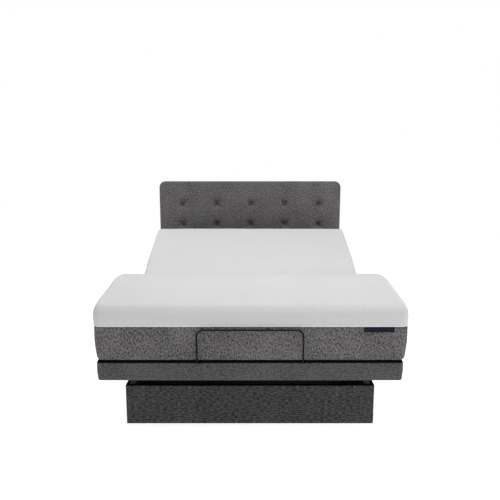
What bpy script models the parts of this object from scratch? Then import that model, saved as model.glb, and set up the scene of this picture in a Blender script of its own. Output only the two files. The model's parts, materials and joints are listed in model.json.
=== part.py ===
"""Adjustable bed: a fabric-covered plinth with a steel lift frame inside, a four-section upholstered
deck that bends at the head, hip and knee lines, a mattress, a retainer bar and a tufted headboard.

Metres, +Z up, +X to the right seen from the foot end, +Y towards the head end. Each section is
modelled flat in the frame of its own hinge line, and the hinge empties hold the bed's stored pose:
head section and knees raised.
"""
import math

import bmesh
import bpy
from mathutils import Matrix, Vector

# Deck
DECK_WIDTH = 1.518
DECK_THICK = 0.104
DECK_BOTTOM = 0.225
DECK_TOP = DECK_BOTTOM + DECK_THICK
HEAD_LENGTH = 0.775
SEAT_LENGTH = 0.385
THIGH_LENGTH = 0.430
CALF_LENGTH = 0.442
BOARD_THICK = 0.018
BOARD_INSET = 0.045
PAD_EDGE = 0.012

# Stored pose and limits, in degrees above flat
HEAD_RAISE = 18.5
THIGH_RAISE = 20.2
CALF_DROOP = 4.9
HEAD_RAISE_MAX = 60.0
THIGH_RAISE_MAX = 40.0
KNEE_RATIO = (THIGH_RAISE + CALF_DROOP) / THIGH_RAISE

# Hinge lines: the head and hip axes lie just under the deck's top, the knee axis just over its bottom
AXIS_INSET = 0.008
AXIS_Z = DECK_TOP - AXIS_INSET
AXIS_TO_UNDERSIDE = DECK_THICK - AXIS_INSET
KNEE_DROP = DECK_THICK - 2 * AXIS_INSET
LEAF_WIDTH = 1.0
LEAF_NEAR, LEAF_FAR = 0.0004, 0.0029
KNUCKLE_X = (-0.42, 0.0, 0.42)
KNUCKLE_RADIUS = 0.006
HINGE_PIN_RADIUS = 0.003
SECTION_GAP = 0.0032

# Mattress
MATTRESS_WIDTH = 1.524
MATTRESS_THICK = 0.297
MATTRESS_EDGE = 0.042

# Plinth and frame
PLINTH_WIDTH = 1.349
PLINTH_HEIGHT = 0.2222
PLINTH_FRONT = -0.655
PLINTH_REAR = 0.943
PANEL_THICK = 0.020
RAIL_WIDTH = 0.030
RAIL_BOTTOM = 0.100
CROSSBAR_BOTTOM, CROSSBAR_TOP = 0.100, 0.140
CROSSBAR_FRONT_Y = (-0.385, -0.345)
CROSSBAR_REAR_Y = (0.700, 0.740)

# Lift gear: each torque tube turns straight under its hinge line
PIVOT_Z = 0.130
PIVOT_DROP = AXIS_Z - PIVOT_Z
TUBE_RADIUS, TUBE_BORE = 0.019, 0.016
HUB_BORE, HUB_RADIUS = 0.0193, 0.027
HEAD_ARM, HEAD_ARM_X = 0.450, 0.360
FOOT_ARM, FOOT_ARM_X = 0.300, 0.420
ROLLER_RADIUS, ROLLER_WIDTH = 0.020, 0.026
ROLLER_GAP = 0.0010
TRACK_THIN = 0.004
TRACK_PAST = 2
ARM_BAR_Z = (-0.020, 0.004)
LEVER_LENGTH = 0.080
HEAD_LEVER_START, FOOT_LEVER_START = -20.0, -14.0
ACTUATOR_X = 0.100
ANCHOR_Z = 0.055
HEAD_ANCHOR_Y, FOOT_ANCHOR_Y = -0.330, 0.685

# Calf links
LINK_X = 0.606
LINK_PIVOT = (-0.153, 0.191)
LINK_LENGTH = 0.4016
LINK_RATIO, LINK_START = 1.04, -8.22
LINK_PIN_BACK, LINK_PIN_DROP = 0.120, 0.090

# Headboard
HEADBOARD_WIDTH = 1.522
HEADBOARD_BOTTOM, HEADBOARD_TOP = 0.360, 1.245
HEADBOARD_FRONT = HEAD_LENGTH + SEAT_LENGTH + 0.016
HEADBOARD_PAD = 0.062
HEADBOARD_CORE = 0.022
HEADBOARD_CORNER = 0.050
HEADBOARD_LEG_X = 0.450

# Retainer bar
BAR_RADIUS = 0.004
BAR_HALF_WIDTH = 0.260
BAR_RISE = 0.171
BAR_AHEAD = 0.014
BAR_FOOT = 0.110

TOUCH = 0.0003
ROUND = 24


# ---------------------------------------------------------------- materials

PALETTE = {
    "grey_upholstery": ((0.070, 0.071, 0.076), 0.95, 0.0),
    "plinth_fabric": ((0.040, 0.041, 0.045), 0.95, 0.0),
    "headboard_fabric": ((0.085, 0.086, 0.090), 0.95, 0.0),
    "mattress_cover": ((0.640, 0.650, 0.680), 0.90, 0.0),
    "plywood": ((0.520, 0.380, 0.230), 0.65, 0.0),
    "frame_steel": ((0.030, 0.030, 0.032), 0.45, 0.8),
    "bare_steel": ((0.560, 0.570, 0.580), 0.30, 1.0),
    "nylon": ((0.700, 0.700, 0.670), 0.45, 0.0),
    "black_plastic": ((0.020, 0.020, 0.022), 0.50, 0.0),
    "bar_steel": ((0.012, 0.012, 0.013), 0.35, 0.6),
}


def make_material(name):
    colour, roughness, metallic = PALETTE[name]
    material = bpy.data.materials.new(name)
    material.use_nodes = True
    shader = material.node_tree.nodes["Principled BSDF"]
    shader.inputs["Base Color"].default_value = (*colour, 1.0)
    shader.inputs["Roughness"].default_value = roughness
    shader.inputs["Metallic"].default_value = metallic
    return material


# ---------------------------------------------------------------- shape helpers


def block(low, high, edge=0.0, segments=2):
    """A box between two corners, with all its edges rounded when edge is given."""
    bm = bmesh.new()
    size = [abs(b - a) for a, b in zip(low, high)]
    centre = [(a + b) / 2 for a, b in zip(low, high)]
    place = Matrix.Translation(centre) @ Matrix.Diagonal((*size, 1.0))
    bmesh.ops.create_cube(bm, size=1.0, matrix=place)
    if edge:
        bmesh.ops.bevel(bm, geom=bm.edges[:], offset=edge, segments=segments, affect="EDGES", profile=0.5)
    return bm


def rod(axis, centre, radius, length, segments=ROUND):
    """A cylinder along one axis, centred on a point."""
    turn = {"X": Matrix.Rotation(math.pi / 2, 4, "Y"), "Y": Matrix.Rotation(math.pi / 2, 4, "X"),
            "Z": Matrix.Identity(4)}[axis]
    bm = bmesh.new()
    bmesh.ops.create_cone(bm, cap_ends=True, segments=segments, radius1=radius, radius2=radius,
                          depth=length, matrix=Matrix.Translation(centre) @ turn)
    return bm


def prism(outline, low, high, axis="X"):
    """A polygon extruded along X (its points are y, z) or along Y (its points are x, z)."""
    bm = bmesh.new()
    ends = []
    for along in (low, high):
        points = [(along, a, b) if axis == "X" else (a, along, b) for a, b in outline]
        ends.append([bm.verts.new(p) for p in points])
    first, last = ends
    bm.faces.new(first)
    bm.faces.new(last)
    for i in range(len(outline)):
        j = (i + 1) % len(outline)
        bm.faces.new((first[i], first[j], last[j], last[i]))
    bmesh.ops.recalc_face_normals(bm, faces=bm.faces[:])
    return bm


def arc(centre, radius, start, end, steps):
    """Points on a circle from one angle to another, in degrees."""
    angles = [math.radians(start + (end - start) * i / steps) for i in range(steps + 1)]
    return [(centre[0] + radius * math.cos(a), centre[1] + radius * math.sin(a)) for a in angles]


def frame_at(name, parent, location, turn_x=0.0, turn_z=0.0):
    """An empty on a joint axis, turned about X by some degrees."""
    empty = bpy.data.objects.new(name, None)
    bpy.context.collection.objects.link(empty)
    empty.parent = parent
    empty.location = location
    empty.rotation_euler = (math.radians(turn_x), 0.0, math.radians(turn_z))
    return empty


def helper(name, bm, parent):
    """A hidden shape used only by a Boolean."""
    mesh = bpy.data.meshes.new(name)
    bm.to_mesh(mesh)
    bm.free()
    obj = bpy.data.objects.new(name, mesh)
    bpy.context.collection.objects.link(obj)
    obj.parent = parent
    obj.hide_render = True
    obj.display_type = "WIRE"
    return obj


def piece(name, bm, parent, material, add=(), cut=(), smooth=False):
    """One named solid: a base shape, with other shapes joined to it and then cut from it."""
    mesh = bpy.data.meshes.new(name)
    bm.to_mesh(mesh)
    bm.free()
    if smooth:
        mesh.shade_smooth()
        mesh.set_sharp_from_angle(angle=math.radians(35))
    mesh.materials.append(material)
    obj = bpy.data.objects.new(name, mesh)
    bpy.context.collection.objects.link(obj)
    obj.parent = parent
    for operation, shapes in (("UNION", add), ("DIFFERENCE", cut)):
        for number, shape in enumerate(shapes):
            modifier = obj.modifiers.new(f"{operation.lower()}_{number}", "BOOLEAN")
            modifier.operation = operation
            modifier.solver = "EXACT"
            modifier.object = helper(f"{name}_{operation.lower()}_{number}", shape, parent)
    return obj


# ---------------------------------------------------------------- deck


def deck_section(prefix, parent, y_low, y_high, z_bottom, hinge_lines, mats, grooves=()):
    """An upholstered pad with a plywood board let into its underside, notched round the knuckles."""
    half = DECK_WIDTH / 2
    z_top = z_bottom + DECK_THICK
    inset = BOARD_INSET
    pocket = block((-half + inset, y_low + inset, z_bottom - 0.01),
                   (half - inset, y_high - inset, z_bottom + BOARD_THICK + TOUCH))
    notches = []
    for line_y, line_z in hinge_lines:
        for x in KNUCKLE_X:
            notches.append(rod("X", (x, line_y, line_z), KNUCKLE_RADIUS + 0.0015, 0.075, 16))
    piece(f"{prefix}_deck_pad", block((-half, y_low, z_bottom), (half, y_high, z_top), PAD_EDGE, 3), parent,
          mats["grey_upholstery"], cut=[pocket, *notches, *grooves])
    piece(f"{prefix}_deck_board",
          block((-half + inset + TOUCH, y_low + inset + TOUCH, z_bottom),
                (half - inset - TOUCH, y_high - inset - TOUCH, z_bottom + BOARD_THICK)),
          parent, mats["plywood"])


def hinge_leaf(name, parent, side, away, holds_pin, material):
    """A long leaf on a section's end face, with knuckles on the axis at the frame's origin.

    side is +1 or -1 for the leaf's side in Y. away is +1 or -1 for the way the leaf leaves the axis in
    Z. The fixed leaf's knuckles are solid and carry the pins, the moving leaf's knuckle is bored.
    """
    def slab(x_low, x_high, near, z_near, z_far):
        corners = (x_low, side * near, away * z_near), (x_high, side * LEAF_FAR, away * z_far)
        return block([min(c) for c in zip(*corners)], [max(c) for c in zip(*corners)])

    spans = ((-0.036, -0.0125), (0.0125, 0.036)) if holds_pin else ((-0.012, 0.012),)
    add, cut = [], []
    for x in KNUCKLE_X:
        for start, end in spans:
            add.append(slab(x + start, x + end, 0.0, 0.0, 0.0095))
            add.append(rod("X", (x + (start + end) / 2, 0, 0), KNUCKLE_RADIUS, end - start, 16))
        if holds_pin:
            add.append(rod("X", (x, 0, 0), HINGE_PIN_RADIUS, 0.060, 16))
        else:
            cut.append(rod("X", (x, 0, 0), HINGE_PIN_RADIUS + 0.0003, 0.040, 16))
    plate = slab(-LEAF_WIDTH / 2, LEAF_WIDTH / 2, LEAF_NEAR, 0.0085, 0.094)
    piece(name, plate, parent, material, add=add, cut=cut)


def build_deck(frames, mats):
    seat, thigh, knee, calf, head = (frames[n] for n in ("bed", "thigh", "knee", "calf", "head"))
    gap = SECTION_GAP
    deck_section("seat", seat, gap, SEAT_LENGTH - gap, DECK_BOTTOM,
                 [(0, AXIS_Z), (SEAT_LENGTH, AXIS_Z)], mats)
    deck_section("head", head, gap, HEAD_LENGTH, -AXIS_TO_UNDERSIDE, [(0, 0)], mats)
    deck_section("thigh", thigh, -THIGH_LENGTH + gap, -gap, -AXIS_TO_UNDERSIDE,
                 [(0, 0), (-THIGH_LENGTH, -KNEE_DROP)], mats)
    groove_z = AXIS_TO_UNDERSIDE
    grooves = [block((x - 0.0055, -CALF_LENGTH - 0.01, groove_z - 0.0095),
                     (x + 0.0055, -CALF_LENGTH + BAR_FOOT + 0.004, groove_z + 0.01))
               for x in (-BAR_HALF_WIDTH, BAR_HALF_WIDTH)]
    deck_section("calf", calf, -CALF_LENGTH, -gap, -AXIS_INSET, [(0, 0)], mats, grooves)

    steel = mats["frame_steel"]
    hinge_leaf("head_hinge_leaf_seat", frames["head_line"], -1, -1, True, steel)
    hinge_leaf("head_hinge_leaf_head", head, 1, -1, False, steel)
    hinge_leaf("hip_hinge_leaf_seat", frames["hip_line"], 1, -1, True, steel)
    hinge_leaf("hip_hinge_leaf_thigh", thigh, -1, -1, False, steel)
    hinge_leaf("knee_hinge_leaf_thigh", knee, 1, 1, True, steel)
    hinge_leaf("knee_hinge_leaf_calf", calf, -1, 1, False, steel)


# ---------------------------------------------------------------- mattress


def mattress_block(name, parent, outline, end_y, material):
    """A foam block with mitred bend faces. Its top side edges, and the edges round its free end, are round."""
    half = MATTRESS_WIDTH / 2
    top = max(z for _, z in outline)
    bm = prism(outline, -half, half)
    chosen = []
    for edge in bm.edges:
        a, b = (v.co for v in edge.verts)
        side_top = abs(abs(a.x) - half) < 1e-6 and abs(a.x - b.x) < 1e-6 and min(a.z, b.z) > top - 1e-5
        at_end = end_y is not None and abs(a.y - end_y) < 1e-6 and abs(b.y - end_y) < 1e-6
        end_top = at_end and min(a.z, b.z) > top - 1e-5
        end_corner = at_end and abs(a.x - b.x) < 1e-6
        if side_top or end_top or end_corner:
            chosen.append(edge)
    bmesh.ops.bevel(bm, geom=chosen, offset=MATTRESS_EDGE, segments=4, affect="EDGES", profile=0.5)
    return piece(name, bm, parent, material)


def build_mattress(frames, mats):
    """Four blocks that meet at the planes halving each bend of the stored pose."""
    low, high = AXIS_INSET + TOUCH, AXIS_INSET + MATTRESS_THICK
    knee_low, knee_high = AXIS_TO_UNDERSIDE + TOUCH, AXIS_TO_UNDERSIDE + MATTRESS_THICK
    head_lean = math.tan(math.radians(HEAD_RAISE / 2))
    hip_lean = math.tan(math.radians(THIGH_RAISE / 2))
    knee_lean = math.tan(math.radians((THIGH_RAISE + CALF_DROOP) / 2))
    gap = 0.0004
    cover = mats["mattress_cover"]

    mattress_block("mattress_head", frames["head"],
                   [(low * head_lean + gap, low), (HEAD_LENGTH, low), (HEAD_LENGTH, high),
                    (high * head_lean + gap, high)], HEAD_LENGTH, cover)
    mattress_block("mattress_seat", frames["hip_line"],
                   [(low * hip_lean + gap, low), (SEAT_LENGTH - low * head_lean - gap, low),
                    (SEAT_LENGTH - high * head_lean - gap, high), (high * hip_lean + gap, high)], None, cover)
    mattress_block("mattress_thigh", frames["thigh"],
                   [(-low * hip_lean - gap, low), (-high * hip_lean - gap, high),
                    (-THIGH_LENGTH - knee_high * knee_lean + gap, high),
                    (-THIGH_LENGTH - knee_low * knee_lean + gap, low)], None, cover)
    mattress_block("mattress_foot", frames["calf"],
                   [(knee_low * knee_lean - gap, knee_low), (knee_high * knee_lean - gap, knee_high),
                    (-CALF_LENGTH, knee_high), (-CALF_LENGTH, knee_low)], -CALF_LENGTH, cover)


# ---------------------------------------------------------------- plinth and frame


def build_plinth(bed, mats):
    half = PLINTH_WIDTH / 2
    fabric = mats["plinth_fabric"]
    for name, y_low in (("plinth_front_panel", PLINTH_FRONT), ("plinth_rear_panel", PLINTH_REAR - PANEL_THICK)):
        piece(name, block((-half, y_low, 0), (half, y_low + PANEL_THICK, PLINTH_HEIGHT), 0.005), bed, fabric)
    y_low, y_high = PLINTH_FRONT + PANEL_THICK + TOUCH, PLINTH_REAR - PANEL_THICK - TOUCH
    for name, x_low in (("plinth_left_panel", -half), ("plinth_right_panel", half - PANEL_THICK)):
        piece(name, block((x_low, y_low, 0), (x_low + PANEL_THICK, y_high, PLINTH_HEIGHT), 0.005), bed, fabric)


def actuator_bracket(x, pivot_y, bar_y):
    """Two cheeks that hang from a crossbar, and the clevis pin between them."""
    toward = 1 if pivot_y > sum(bar_y) / 2 else -1
    reach = pivot_y + toward * 0.014
    far = bar_y[0] + 0.005 if toward > 0 else bar_y[1] - 0.005
    y_low, y_high = min(reach, far), max(reach, far)
    shapes = [block((x + side * 0.010 - 0.0025, y_low, 0.040), (x + side * 0.010 + 0.0025, y_high, 0.120))
              for side in (-1, 1)]
    shapes.append(rod("X", (x, pivot_y, ANCHOR_Z), 0.005, 0.026, 16))
    return shapes


def build_frame(bed, mats):
    steel = mats["frame_steel"]
    outer = PLINTH_WIDTH / 2 - PANEL_THICK - TOUCH
    inner = outer - RAIL_WIDTH
    y_low, y_high = PLINTH_FRONT + PANEL_THICK + TOUCH, PLINTH_REAR - PANEL_THICK - TOUCH
    for name, side in (("frame_rail_left", -1), ("frame_rail_right", 1)):
        x_mid = side * (inner + outer) / 2
        bores = [rod("X", (x_mid, y, PIVOT_Z), TUBE_RADIUS + 0.0004, 0.05, 32) for y in (0.0, SEAT_LENGTH)]
        bores.append(rod("X", (x_mid, *LINK_PIVOT), 0.0084, 0.05, 16))
        piece(name, block((x_mid - RAIL_WIDTH / 2, y_low, RAIL_BOTTOM),
                          (x_mid + RAIL_WIDTH / 2, y_high, DECK_BOTTOM - TOUCH)), bed, steel, cut=bores)
    reach = inner - TOUCH
    for name, bar_y, x, anchor_y in (("crossbar_front", CROSSBAR_FRONT_Y, -ACTUATOR_X, HEAD_ANCHOR_Y),
                                     ("crossbar_rear", CROSSBAR_REAR_Y, ACTUATOR_X, FOOT_ANCHOR_Y)):
        piece(name, block((-reach, bar_y[0], CROSSBAR_BOTTOM), (reach, bar_y[1], CROSSBAR_TOP)), bed, steel,
              add=actuator_bracket(x, anchor_y, bar_y))
    piece("seat_crossbar", block((-reach, 0.170, 0.190), (reach, 0.210, DECK_BOTTOM - TOUCH)), bed, steel)
    piece("control_box", block((0.16, 0.095, 0.147), (0.32, 0.285, 0.190 - TOUCH), 0.006), bed,
          mats["black_plastic"])


# ---------------------------------------------------------------- lift gear


def lift_angles(arm, raise_max):
    """The arm's angle when its section is flat, and its degrees per degree of the section."""
    roller_z = -AXIS_TO_UNDERSIDE - TOUCH - TRACK_THIN - ROLLER_GAP - ROLLER_RADIUS
    flat = math.degrees(math.asin((roller_z + PIVOT_DROP) / arm))
    lean = math.degrees(math.asin((roller_z + PIVOT_DROP * math.cos(math.radians(raise_max))) / arm))
    return flat, (raise_max + lean - flat) / raise_max


def track_outline(arm, raise_max, steps=16):
    """The skid under a section: its lower face follows the roller through the lift and a little past it."""
    flat, ratio = lift_angles(arm, raise_max)
    path = []
    for i in range(-TRACK_PAST, steps + TRACK_PAST + 1):
        section = math.radians(raise_max * i / steps)
        relative = math.radians(flat) + (ratio - 1) * section
        path.append(Vector((-PIVOT_DROP * math.sin(section) + arm * math.cos(relative),
                            -PIVOT_DROP * math.cos(section) + arm * math.sin(relative))))
    lower = []
    for i, point in enumerate(path):
        along = path[min(i + 1, len(path) - 1)] - path[max(i - 1, 0)]
        normal = Vector((along.y, -along.x)).normalized()
        normal = normal if normal.y > 0 else -normal
        lower.append(point + normal * (ROLLER_RADIUS + ROLLER_GAP))
    ceiling = -AXIS_TO_UNDERSIDE - TOUCH
    lower = [(p.x, min(p.y, ceiling - 0.002)) for p in lower]
    return [*lower, (lower[-1][0], ceiling), (lower[0][0], ceiling)]


def lift(prefix, bed, section_frame, pivot_y, facing, arm, arm_x, section_raise, raise_max, lever_x,
         lever_start, mats):
    """A torque tube with two roller arms and an actuator lever. facing is +1 towards the head."""
    flat, ratio = lift_angles(arm, raise_max)
    angle = flat + ratio * section_raise
    axis = frame_at(f"{prefix}_lift_axis", bed, (0, pivot_y, PIVOT_Z), facing * angle)
    lever_frame = frame_at(f"{prefix}_lever_frame", axis, (0, 0, 0), facing * (lever_start - flat))
    steel = mats["frame_steel"]

    half = PLINTH_WIDTH / 2 - PANEL_THICK - 0.001
    piece(f"{prefix}_torque_tube", rod("X", (0, 0, 0), TUBE_RADIUS, 2 * half, 32), axis, steel,
          cut=[rod("X", (0, 0, 0), TUBE_BORE, 2 * half + 0.01, 32)], smooth=True)

    outline = [(facing * y, z) for y, z in track_outline(arm, raise_max)]
    for word, side in (("left", -1), ("right", 1)):
        x = side * arm_x
        hub = rod("X", (x, 0, 0), HUB_RADIUS, 0.016)
        bar = block((x - 0.006, min(facing * 0.022, facing * arm), ARM_BAR_Z[0]),
                    (x + 0.006, max(facing * 0.022, facing * arm), ARM_BAR_Z[1]))
        roller_x = x + side * (0.008 + 0.001 + ROLLER_WIDTH / 2)
        axle_end = abs(roller_x) + ROLLER_WIDTH / 2 + 0.004
        axle = rod("X", (side * (arm_x + axle_end) / 2, facing * arm, 0), 0.006, axle_end - arm_x, 16)
        eye = rod("X", (x, facing * arm, 0), 0.015, 0.016)
        cap = rod("X", (side * (axle_end - 0.0015), facing * arm, 0), 0.010, 0.003, 16)
        piece(f"{prefix}_lift_arm_{word}", hub, axis, steel, add=[bar, eye, axle, cap],
              cut=[rod("X", (x, 0, 0), HUB_BORE, 0.03, 32)])
        roller_axis = frame_at(f"{prefix}_roller_axis_{word}", axis, (roller_x, facing * arm, 0))
        piece(f"{prefix}_roller_{word}", rod("X", (0, 0, 0), ROLLER_RADIUS, ROLLER_WIDTH), roller_axis,
              mats["nylon"], cut=[rod("X", (0, 0, 0), 0.0063, 0.04, 16)], smooth=True)
        piece(f"{prefix}_lift_track_{word}", prism(outline, roller_x - 0.016, roller_x + 0.016),
              section_frame, steel)

    cheeks = [block((lever_x + s * 0.012 - 0.003, -0.014, -LEVER_LENGTH - 0.012),
                    (lever_x + s * 0.012 + 0.003, 0.014, -0.020)) for s in (-1, 1)]
    pin = rod("X", (lever_x, 0, -LEVER_LENGTH), 0.005, 0.030, 16)
    piece(f"{prefix}_lever", rod("X", (lever_x, 0, 0), HUB_RADIUS, 0.030), lever_frame, steel,
          add=[*cheeks, pin], cut=[rod("X", (lever_x, 0, 0), HUB_BORE, 0.04, 32)])

    lever_angle = math.radians(lever_start + ratio * section_raise)
    return (pivot_y + facing * LEVER_LENGTH * math.sin(lever_angle),
            PIVOT_Z - LEVER_LENGTH * math.cos(lever_angle))


def actuator(prefix, bed, x, anchor_y, facing, lever_pin, mats):
    """A motor and gear housing with an outer tube, and the rod that slides in it and pushes the lever."""
    run, climb = facing * (lever_pin[0] - anchor_y), lever_pin[1] - ANCHOR_Z
    reach = math.hypot(run, climb)
    slope = math.degrees(math.atan2(climb, run))
    axis = frame_at(f"{prefix}_actuator_axis", bed, (x, anchor_y, ANCHOR_Z), slope, 0.0 if facing > 0 else 180.0)
    axis.rotation_mode = "XYZ"
    plastic, steel = mats["black_plastic"], mats["bare_steel"]
    eye = rod("X", (0, 0, 0), 0.012, 0.013, 16)
    neck = block((-0.0065, 0.0, -0.009), (0.0065, 0.040, 0.009))
    housing = block((-0.036, 0.030, -0.032), (0.030, 0.140, 0.032), 0.006)
    motor = rod("Y", (-0.062, 0.100, 0), 0.029, 0.160)
    outer = rod("Y", (0, 0.270, 0), 0.017, 0.290)
    bore = rod("Y", (0, 0.290, 0), 0.0104, 0.270)
    piece(f"{prefix}_actuator_body", housing, axis, plastic, add=[eye, neck, motor, outer],
          cut=[bore, rod("X", (0, 0, 0), 0.0054, 0.03, 16)])
    start = 0.200
    end = reach - 0.034
    eye_block = block((-0.008, reach - 0.038, -0.018), (0.008, reach + 0.011, 0.018))
    slot = block((-0.02, reach - 0.0057, -0.0122), (0.02, reach + 0.0057, 0.0122))
    piece(f"{prefix}_actuator_rod", rod("Y", (0, (start + end) / 2, 0), 0.010, end - start), axis, steel,
          add=[eye_block], cut=[slot])
    return axis


def calf_links(bed, calf, mats):
    """The two links that keep the calf section nearly level, and their brackets under its board."""
    steel = mats["frame_steel"]
    angle = LINK_START + LINK_RATIO * THIGH_RAISE
    axis = frame_at("calf_link_axis", bed, (0, *LINK_PIVOT), -angle)
    board_z = -AXIS_INSET - TOUCH
    pin_y, pin_z = -LINK_PIN_BACK, -AXIS_INSET - LINK_PIN_DROP
    for word, side in (("left", -1), ("right", 1)):
        x_low, x_high = sorted((side * LINK_X, side * (LINK_X + 0.010)))
        bar = block((x_low, -LINK_LENGTH, -0.010), (x_high, 0, 0.010))
        x_mid = (x_low + x_high) / 2
        ends = [rod("X", (x_mid, y, 0), 0.015, 0.010, 16) for y in (0.0, -LINK_LENGTH)]
        stub_end = PLINTH_WIDTH / 2 - PANEL_THICK - 0.001
        stub = rod("X", (side * (LINK_X + stub_end) / 2, 0, 0), 0.008, stub_end - LINK_X, 16)
        piece(f"calf_link_{word}", bar, axis, steel, add=[*ends, stub],
              cut=[rod("X", (x_mid, -LINK_LENGTH, 0), 0.0090, 0.03, 16)])
        plate_x = sorted((side * (LINK_X - 0.012), side * (LINK_X - 0.006)))
        plate = block((plate_x[0], pin_y - 0.016, pin_z - 0.012), (plate_x[1], pin_y + 0.016, board_z))
        flange_x = sorted((side * (LINK_X - 0.046), side * (LINK_X - 0.006)))
        flange = block((flange_x[0], pin_y - 0.030, board_z - 0.004), (flange_x[1], pin_y + 0.030, board_z))
        pin = rod("X", (side * (LINK_X + 0.002), pin_y, pin_z), 0.006, 0.024, 16)
        piece(f"calf_link_bracket_{word}", plate, calf, steel, add=[flange, pin])


def build_lifts(frames, mats):
    bed = frames["bed"]
    head_pin = lift("head", bed, frames["head"], SEAT_LENGTH, 1, HEAD_ARM, HEAD_ARM_X, HEAD_RAISE,
                    HEAD_RAISE_MAX, -ACTUATOR_X, HEAD_LEVER_START, mats)
    foot_pin = lift("foot", bed, frames["thigh"], 0.0, -1, FOOT_ARM, FOOT_ARM_X, THIGH_RAISE,
                    THIGH_RAISE_MAX, ACTUATOR_X, FOOT_LEVER_START, mats)
    actuator("head", bed, -ACTUATOR_X, HEAD_ANCHOR_Y, 1, head_pin, mats)
    actuator("foot", bed, ACTUATOR_X, FOOT_ANCHOR_Y, -1, foot_pin, mats)
    calf_links(bed, frames["calf"], mats)


# ---------------------------------------------------------------- headboard and retainer bar


def rounded_panel(half, bottom, top, corner, y_low, y_high, edge):
    """A panel with rounded top corners and softened edges."""
    outline = [(-half, bottom), (half, bottom)]
    outline += arc((half - corner, top - corner), corner, 0, 90, 5)
    outline += arc((-half + corner, top - corner), corner, 90, 180, 5)
    bm = prism(outline, y_low, y_high, axis="Y")
    rim = [e for e in bm.edges if abs(e.verts[0].co.y - e.verts[1].co.y) < 1e-6]
    bmesh.ops.bevel(bm, geom=rim, offset=edge, segments=2, affect="EDGES", profile=0.5)
    return bm


def build_headboard(bed, mats):
    half = HEADBOARD_WIDTH / 2
    pad_back = HEADBOARD_FRONT + HEADBOARD_PAD
    core_back = pad_back + TOUCH + HEADBOARD_CORE
    piece("headboard_pad", rounded_panel(half, HEADBOARD_BOTTOM, HEADBOARD_TOP, HEADBOARD_CORNER,
                                         HEADBOARD_FRONT, pad_back, 0.016), bed, mats["headboard_fabric"])
    piece("headboard_back", rounded_panel(half - 0.004, HEADBOARD_BOTTOM + 0.004, HEADBOARD_TOP - 0.004,
                                          HEADBOARD_CORNER, pad_back + TOUCH, core_back, 0.004), bed,
          mats["plinth_fabric"])
    leg_front = core_back + TOUCH
    for word, side in (("left", -1), ("right", 1)):
        x = side * HEADBOARD_LEG_X
        piece(f"headboard_leg_{word}", block((x - 0.030, leg_front, 0), (x + 0.030, leg_front + 0.025, 1.000)),
              bed, mats["frame_steel"])
        piece(f"headboard_arm_{word}", block((x - 0.020, PLINTH_REAR + TOUCH, 0.100),
                                             (x + 0.020, leg_front - TOUCH, 0.130)), bed, mats["frame_steel"])


def rounded_route(corners, radii, steps=5):
    """A path through the given corners, with each inner corner turned into an arc."""
    route = [Vector(corners[0])]
    for before, corner, after, radius in zip(corners, corners[1:], corners[2:], radii):
        corner = Vector(corner)
        back, ahead = (Vector(before) - corner).normalized(), (Vector(after) - corner).normalized()
        start, end = corner + back * radius, corner + ahead * radius
        centre = corner + (back + ahead) * radius
        for i in range(steps + 1):
            turn = math.radians(90 * i / steps)
            route.append(centre + (start - centre) * math.cos(turn) + (end - centre) * math.sin(turn))
    route.append(Vector(corners[-1]))
    return route


def build_retainer_bar(calf, mats):
    """A bent round bar: two feet in the deck's grooves, two uprights and the rail between them."""
    deck_z = AXIS_TO_UNDERSIDE
    foot_z = deck_z - BAR_RADIUS - 0.001
    bar_y = -CALF_LENGTH - BAR_AHEAD
    foot_y = -CALF_LENGTH + BAR_FOOT
    top_z = deck_z + BAR_RISE
    x = BAR_HALF_WIDTH
    corners = [(-x, foot_y, foot_z), (-x, bar_y, foot_z), (-x, bar_y, top_z),
               (x, bar_y, top_z), (x, bar_y, foot_z), (x, foot_y, foot_z)]
    curve = bpy.data.curves.new("retainer_bar", "CURVE")
    curve.dimensions = "3D"
    curve.bevel_depth = BAR_RADIUS
    curve.bevel_resolution = 1
    curve.use_fill_caps = True
    route = rounded_route(corners, (0.011, 0.034, 0.034, 0.011))
    spline = curve.splines.new("POLY")
    spline.points.add(len(route) - 1)
    for point, place in zip(spline.points, route):
        point.co = (*place, 1.0)
    curve.materials.append(mats["bar_steel"])
    obj = bpy.data.objects.new("retainer_bar", curve)
    bpy.context.collection.objects.link(obj)
    obj.parent = calf


# ---------------------------------------------------------------- assembly


def hinge_frames():
    """The bed's root empty and one empty on each hinge line, turned to the stored pose."""
    bed = frame_at("bed", None, (0, 0, 0))
    hip_line = frame_at("hip_line", bed, (0, 0, AXIS_Z))
    head_line = frame_at("head_line", bed, (0, SEAT_LENGTH, AXIS_Z))
    head = frame_at("head_frame", head_line, (0, 0, 0), HEAD_RAISE)
    thigh = frame_at("thigh_frame", hip_line, (0, 0, 0), -THIGH_RAISE)
    knee = frame_at("knee_line", thigh, (0, -THIGH_LENGTH, -KNEE_DROP))
    calf = frame_at("calf_frame", knee, (0, 0, 0), KNEE_RATIO * THIGH_RAISE)
    return {"bed": bed, "hip_line": hip_line, "head_line": head_line, "head": head, "thigh": thigh,
            "knee": knee, "calf": calf}


def centre_lengthways(bed):
    """Puts the origin on the floor under the middle of the whole bed."""
    bpy.context.view_layer.update()
    graph = bpy.context.evaluated_depsgraph_get()
    ends = []
    for obj in bpy.data.objects:
        if obj.type in {"MESH", "CURVE"} and not obj.hide_render:
            shape = obj.evaluated_get(graph)
            mesh = shape.to_mesh()
            ends += [(shape.matrix_world @ v.co).y for v in mesh.vertices]
            shape.to_mesh_clear()
    bed.location.y = -(min(ends) + max(ends)) / 2
    bpy.context.view_layer.update()


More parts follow.
